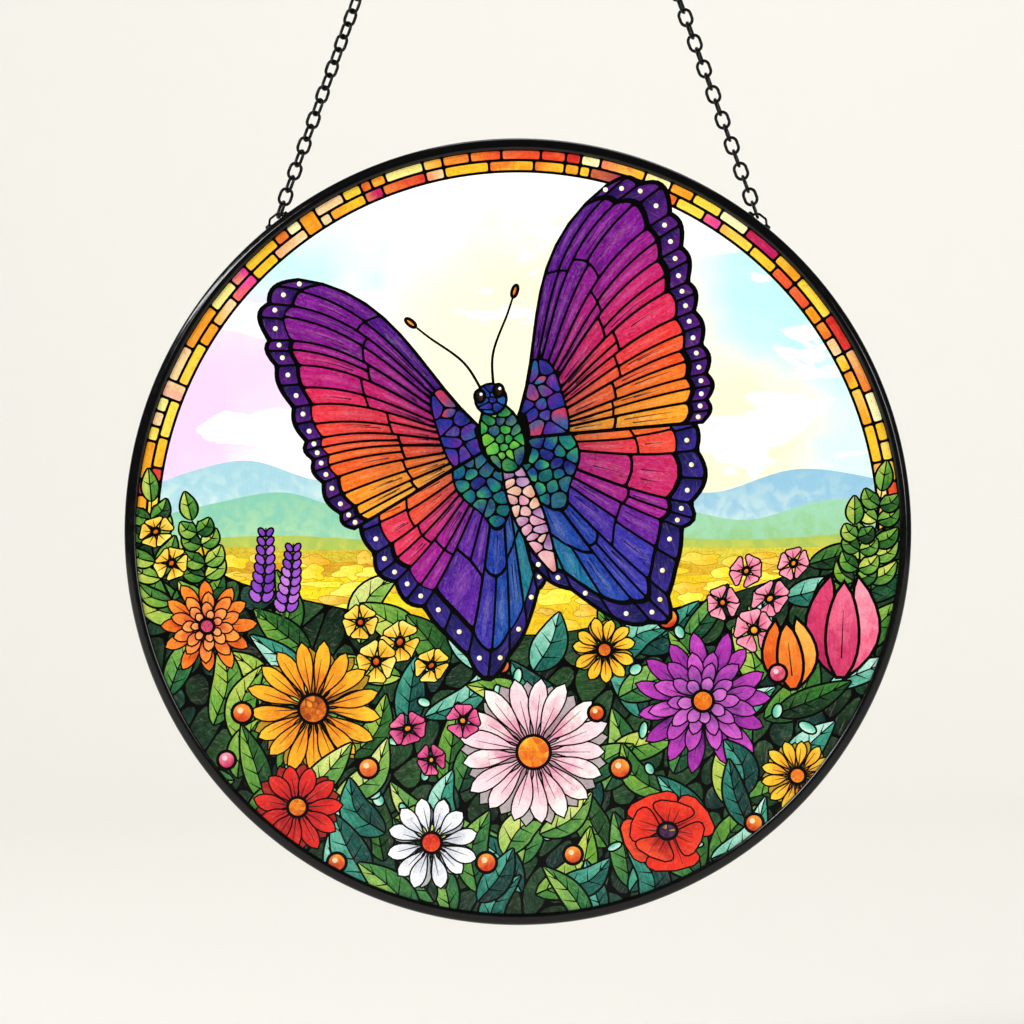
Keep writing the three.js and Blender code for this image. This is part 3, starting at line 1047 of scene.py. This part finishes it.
def glass_ink(name, backing=0.0):
    """The ink of the coloured panes. backing is how much of a white coat shows over it."""
    material, shader = new_material(name, **INK_GLOSS)

    def printed(label, output):
        return add(material, "ShaderNodeAttribute", {"attribute_name": label}).outputs[output]

    grain = printed("grain", "Vector")
    figure = printed("figure", "Fac")
    streaks = noise(material, grain, (1 / STREAK_LENGTH, 1 / STREAK_WIDTH, 3.7), 3)
    clouds = noise(material, grain, (1 / CLOUDING, 1 / CLOUDING, 5.1), 2, 0.8)
    stone = noise(material, grain, (1 / STONE_LENGTH, 1 / STONE_WIDTH, 4.3), 4, 1.4)
    veins = noise(material, grain, (1 / VEIN_SPACING, 1 / VEIN_SPACING, 2.3), 4, 2.2)
    off_vein = maths(material, "ABSOLUTE", maths(material, "SUBTRACT", veins, 0.5))
    drift = ranged(material, clouds, 0.3, 0.7, -0.22, 0.22)
    run = maths(material, "ADD", printed("share", "Fac"), drift)
    run = ranged(material, run, 0.0, 1.0, 0.0, 1.0)
    colour = blended(material, run, printed("first_colour", "Color"), printed("second_colour", "Color"))
    deeper = add(material, "ShaderNodeGamma", None, {"Color": colour, "Gamma": 1.8}).outputs[0]
    for pattern, low, high, depth, blend, paint in (
        (streaks, 0.36, 0.62, 0.5, "MIX", deeper),
        (streaks, 0.55, 0.72, 0.3, "SCREEN", linear("#8a7f74")),
        (clouds, 0.5, 0.75, 0.6, "MIX", deeper),
        (stone, 0.48, 0.66, 0.5, "MIX", deeper),
        (stone, 0.44, 0.3, 0.16, "SCREEN", linear("#8f8a78")),
        (off_vein, 0.035, 0.0, 0.42, "MULTIPLY", linear("#54463c")),
    ):
        amount = maths(material, "MULTIPLY", ranged(material, pattern, low, high, 0.0, 1.0), figure)
        colour = blended(material, maths(material, "MULTIPLY", amount, depth), colour, paint, blend)
    if backing:
        colour = blended(material, backing, colour, linear("#f4f2ea"))
    material.node_tree.links.new(colour, shader.inputs["Base Color"])
    return material


# The sky ink is washed on wet: broad soft tints that run into one another, and a few clouds with
# a harder edge where the wash dried. Each wash has a middle, two reaches, a colour and a strength.
SKY_WASHES = (
    (12 + 46j, 66, 36, "#fefbd6", 1.0),
    (-16 + 22j, 56, 24, "#fefbd2", 0.95),
    (42 + 20j, 52, 22, "#fdf1cc", 0.95),
    (16 + 68j, 36, 12, "#fde9cb", 0.7),
    (-58 + 66j, 26, 22, "#c6fbee", 1.0),
    (-64 + 48j, 24, 22, "#d9defe", 0.85),
    (-86 + 26j, 34, 40, "#facdfa", 1.0),
    (-78 + 2j, 32, 13, "#e6dcfb", 0.8),
    (76 + 58j, 34, 28, "#bdfaf0", 1.0),
    (92 + 22j, 22, 24, "#d2f8ee", 0.85),
)


def sky_ink():
    material, shader = new_material("washed_sky_ink", **INK_GLOSS)
    place = add(material, "ShaderNodeTexCoord").outputs["Object"]
    place = vector_maths(material, "SUBTRACT", place, panel_middle[:])
    place = vector_maths(material, "MULTIPLY", place, (1 / MM, 1 / MM, 1 / MM))
    warp = add(material, "ShaderNodeTexNoise", None, {"Vector": place, "Scale": 1 / 26, "Detail": 3.0})
    shift = vector_maths(material, "MULTIPLY_ADD", warp.outputs["Color"], (44, 0, 44), (-22, 0, -22))
    wavy = vector_maths(material, "ADD", place, shift)
    colour = linear("#fffffc")
    for middle, wide, tall, paint, strength in SKY_WASHES:
        offset = (-middle.real / wide, 0, -middle.imag / tall)
        spread = vector_maths(material, "MULTIPLY_ADD", wavy, (1 / wide, 0, 1 / tall), offset)
        distance = add(material, "ShaderNodeVectorMath", {"operation": "LENGTH"}, {0: spread})
        amount = ranged(material, distance.outputs["Value"], 0.35, 1.25, strength, 0.0)
        colour = blended(material, amount, colour, linear(paint))
    clouds = noise(material, place, (1 / 36, 1, 1 / 15), 4, 0.6)
    for low, high, strength in ((0.56, 0.575, 0.7), (0.61, 0.63, 0.9)):
        amount = ranged(material, clouds, low, high, 0.0, strength)
        colour = blended(material, amount, colour, linear("#fffffd"))
    material.node_tree.links.new(colour, shader.inputs["Base Color"])
    return material


LINE_GLOSS = INK_GLOSS | {"Specular_IOR_Level": 0.12}
line_ink, _ = new_material("black_line_ink", Base_Color=linear(BLACK), **LINE_GLOSS)
patch_kinds = np.array([{SKY: 0, BLACK: 1}.get(colour, 2) for colour in first_colours])
kinds = patch_kinds[shown]
sheet("sky_print", kinds == 0, sky_ink())
sheet("line_print", kinds == 1, line_ink)
sheet("colour_print", kinds == 2, glass_ink("art_glass_ink"))
sheet("back_print", kinds >= 0, glass_ink("white_backed_ink", 0.3), True)

# ---- Rim ----
# A narrow channel of metal rolled round the glass, with a bevelled inner lip and a rounded outer
# edge. It is dipped in gloss black paint, which pools a little and so isn't quite flat.

RIM_LIP = 3.0
RIM_WEB = 1.0
RIM_GROOVE = 3.6
RIM_SEGMENTS = 300
RIM_FACE = [0.8j, 0.12 + 0.28j, 0.45 + 0.05j, 0.9, 1.45 + 0.02j, 1.75 + 0.12j]
RIM_FACE += [2.32 + 0.48j, 2.7 + 0.85j, 2.92 + 1.3j, 3 + 1.8j]
half_depth = (rim_high.y - rim_low.y) / 2 / MM


def rim_outline():
    """The channel's section as (radius, y) in metres, once round."""
    lip, web, groove = rim_radius - RIM_LIP, rim_radius - RIM_WEB, RIM_GROOVE / 2
    outline = [(lip, groove), (web, groove), (web, -groove), (lip, -groove)]
    outline += [(lip + spot.real, spot.imag - half_depth) for spot in curve(RIM_FACE, 4)]
    outline += [(r, -y) for r, y in outline[:3:-1]]
    return [(r * MM, y * MM) for r, y in outline]


def black_paint(name, roughness, shine, bump, grain_size):
    """Black paint over metal, with the slight unevenness of a dipped coat."""
    values = {"Base_Color": linear("#030304"), "IOR": 1.5, "Specular_IOR_Level": shine}
    material, shader = new_material(name, **values)
    inputs = {"Scale": 1 / (grain_size * MM), "Detail": 2.0}
    inputs["Vector"] = add(material, "ShaderNodeTexCoord").outputs["Object"]
    uneven = add(material, "ShaderNodeTexNoise", None, inputs).outputs["Fac"]
    rubbed = ranged(material, uneven, 0.3, 0.7, roughness * 0.75, roughness * 1.35)
    material.node_tree.links.new(rubbed, shader.inputs["Roughness"])
    raised = add(material, "ShaderNodeBump", None, {"Height": uneven, "Distance": bump * MM, "Strength": 0.6})
    material.node_tree.links.new(raised.outputs[0], shader.inputs["Normal"])
    return material


rim_mesh = mesh_of("painted_rim", [turned(rim_outline(), RIM_SEGMENTS, True)])
rim_mesh.shade_smooth()
rim_mesh.set_sharp_from_angle(angle=math.radians(40))
painted_rim = new_object("painted_rim", rim_mesh, black_paint("gloss_black_paint", 0.14, 0.32, 0.02, 1.6))
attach(painted_rim, "root")
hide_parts("rim")

# ---- Hanger loops ----
# Each is a short wire bent to a low hump and soldered by its two feet to the rim's outer edge,
# then painted with it.

HANGER_ANGLE = 37.8
HANGER_WIRE = 0.6
HANGER_REACH = 3.3
HANGER_CREST = 0.9
HANGER_FOOT = 2.4
HANGER_RISE = 1.05
HANGER_SEAT = 0.1
SOLDER_LENGTH = 0.95
SOLDER_RADIUS = 0.5
SOLDER_HEIGHT = 0.12
ACROSS = Vector((0, 1, 0))


def tube(line, radii, sides, closed, across):
    """Corners and faces of a round wire along a line of points. across is square to the whole line."""
    count = len(line)
    corners, faces = [], []
    for k, point in enumerate(line):
        before = line[(k - 1) % count] if closed or k else point
        ahead = line[(k + 1) % count] if closed or k < count - 1 else point
        outward = (ahead - before).normalized().cross(across)
        for side in range(sides):
            angle = 2 * math.pi * side / sides
            corners.append(point + radii[k] * (math.cos(angle) * outward + math.sin(angle) * across))
    for k in range(count if closed else count - 1):
        ahead = (k + 1) % count
        for side in range(sides):
            after = (side + 1) % sides
            faces.append((k * sides + side, k * sides + after, ahead * sides + after, ahead * sides + side))
    if not closed:
        faces.append(tuple(range(sides))[::-1])
        faces.append(tuple(range((count - 1) * sides, count * sides)))
    return corners, faces


def outside_rim(angle, reach, height):
    """A point outside the rim: an angle from the top in degrees, then along and above it in mm."""
    turn = math.radians(angle) + reach / rim_radius
    radius = (rim_radius + height) * MM
    return panel_middle + Vector((radius * math.sin(turn), 0, radius * math.cos(turn)))


loop_paint = black_paint("painted_steel_wire", 0.2, 0.22, 0.02, 0.5)
for side, sign in (("left", -1), ("right", 1)):
    hump = []
    for reach in np.linspace(-HANGER_REACH, HANGER_REACH, 41):
        fall = min(max((abs(reach) - HANGER_CREST) / (HANGER_FOOT - HANGER_CREST), 0), 1)
        lift = 1 - fall * fall * (3 - 2 * fall)
        height = HANGER_SEAT + HANGER_WIRE / 2 + HANGER_RISE * lift
        hump.append(outside_rim(sign * HANGER_ANGLE, reach, height))
    parts = [tube(hump, [HANGER_WIRE / 2 * MM] * len(hump), 12, False, ACROSS)]
    shares = np.linspace(-1, 1, 13)
    radii = [(SOLDER_RADIUS * math.sqrt(1 - share * share) + 0.02) * MM for share in shares]
    for end in (-1, 1):
        reaches = end * (HANGER_REACH - SOLDER_LENGTH * 0.75) + shares * SOLDER_LENGTH
        drop = [outside_rim(sign * HANGER_ANGLE, reach, SOLDER_HEIGHT) for reach in reaches]
        parts.append(tube(drop, radii, 12, False, ACROSS))
    loop_mesh = mesh_of(f"{side}_loop", parts)
    loop_mesh.shade_smooth()
    loop = new_object(f"{side}_loop", loop_mesh, loop_paint)
    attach(loop, "root")
    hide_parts(f"{side}_hanger_loop")

# ---- Chain ----
# Cable chain of round steel wire, blackened. Each link is an oval ring, and every other link
# stands edge on. Each leg is turned about its own length, and a little more halfway up.

CHAIN_WIRE = 0.8
LINK_LENGTH = 4.21
LINK_WIDTH = 3.1
LINK_PITCH = 3.46
LINKS_PER_LEG = 51
FIRST_LINK_ALONG = 0.8
FIRST_LINK_HEIGHT = 0.52
LAST_LINK_ALONG = 0.79
LAST_LINK_DROP = 0.63


# The middle line of a link in the XZ plane, with its length along X, in mm.
ring = []
for a in np.linspace(0, 2 * math.pi, 28, endpoint=False) + math.pi / 28:
    pull = math.copysign(LINK_LENGTH - LINK_WIDTH, math.cos(a)) / 2
    ring.append(Vector((LINK_WIDTH / 2 * math.cos(a) + pull, 0, LINK_WIDTH / 2 * math.sin(a))))
link_corners, link_faces = tube(ring, [CHAIN_WIRE / 2] * len(ring), 10, True, ACROSS)


chain_steel = black_paint("blackened_steel", 0.26, 0.2, 0.02, 0.4)
middle_low, middle_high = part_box("middle_chain_link")
link_middle = (middle_low + middle_high) / 2


def add_links(name, node, placings):
    """One piece of chain, its links placed in turn."""
    links = [([placing @ (corner * MM) for corner in link_corners], link_faces) for placing in placings]
    links_mesh = mesh_of(name, links)
    links_mesh.shade_smooth()
    made = new_object(name, links_mesh, chain_steel)
    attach(made, "root")
    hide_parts(node)


add_links("middle_link", "middle_chain_link", [Matrix.Translation(link_middle)])
for side, sign, turn_at_rim, turn_halfway in (("left", -1, 18, 36), ("right", 1, -5, -15)):
    foot = outside_rim(sign * HANGER_ANGLE, -sign * FIRST_LINK_ALONG, FIRST_LINK_HEIGHT)
    head = link_middle + Vector((sign * LAST_LINK_ALONG, 0, -LAST_LINK_DROP)) * MM
    lean = math.atan2(head.z - foot.z, head.x - foot.x)
    leg = Matrix.Translation(foot) @ Matrix.Rotation(-lean, 4, "Y")
    leg_length = (head - foot).length / MM
    placings = []
    for number in range(LINKS_PER_LEG):
        middle = LINK_LENGTH / 2 + number * LINK_PITCH
        share = middle / leg_length
        turn = turn_at_rim * (1 - share) + turn_halfway * math.sin(math.pi * share)
        turn += 0 if number % 2 else 90
        placing = leg @ Matrix.Translation((middle * MM, 0, 0)) @ Matrix.Rotation(math.radians(turn), 4, "X")
        placings.append(placing)
    for number in range(1, LINKS_PER_LEG, 2):
        label = f"{number}_{number + 1}"
        add_links(f"{side}_links_{label}", f"{side}_chain_links_{label}", placings[number - 1 : number + 1])
    add_links(f"{side}_link_51", f"{side}_chain_link_51", placings[-1:])
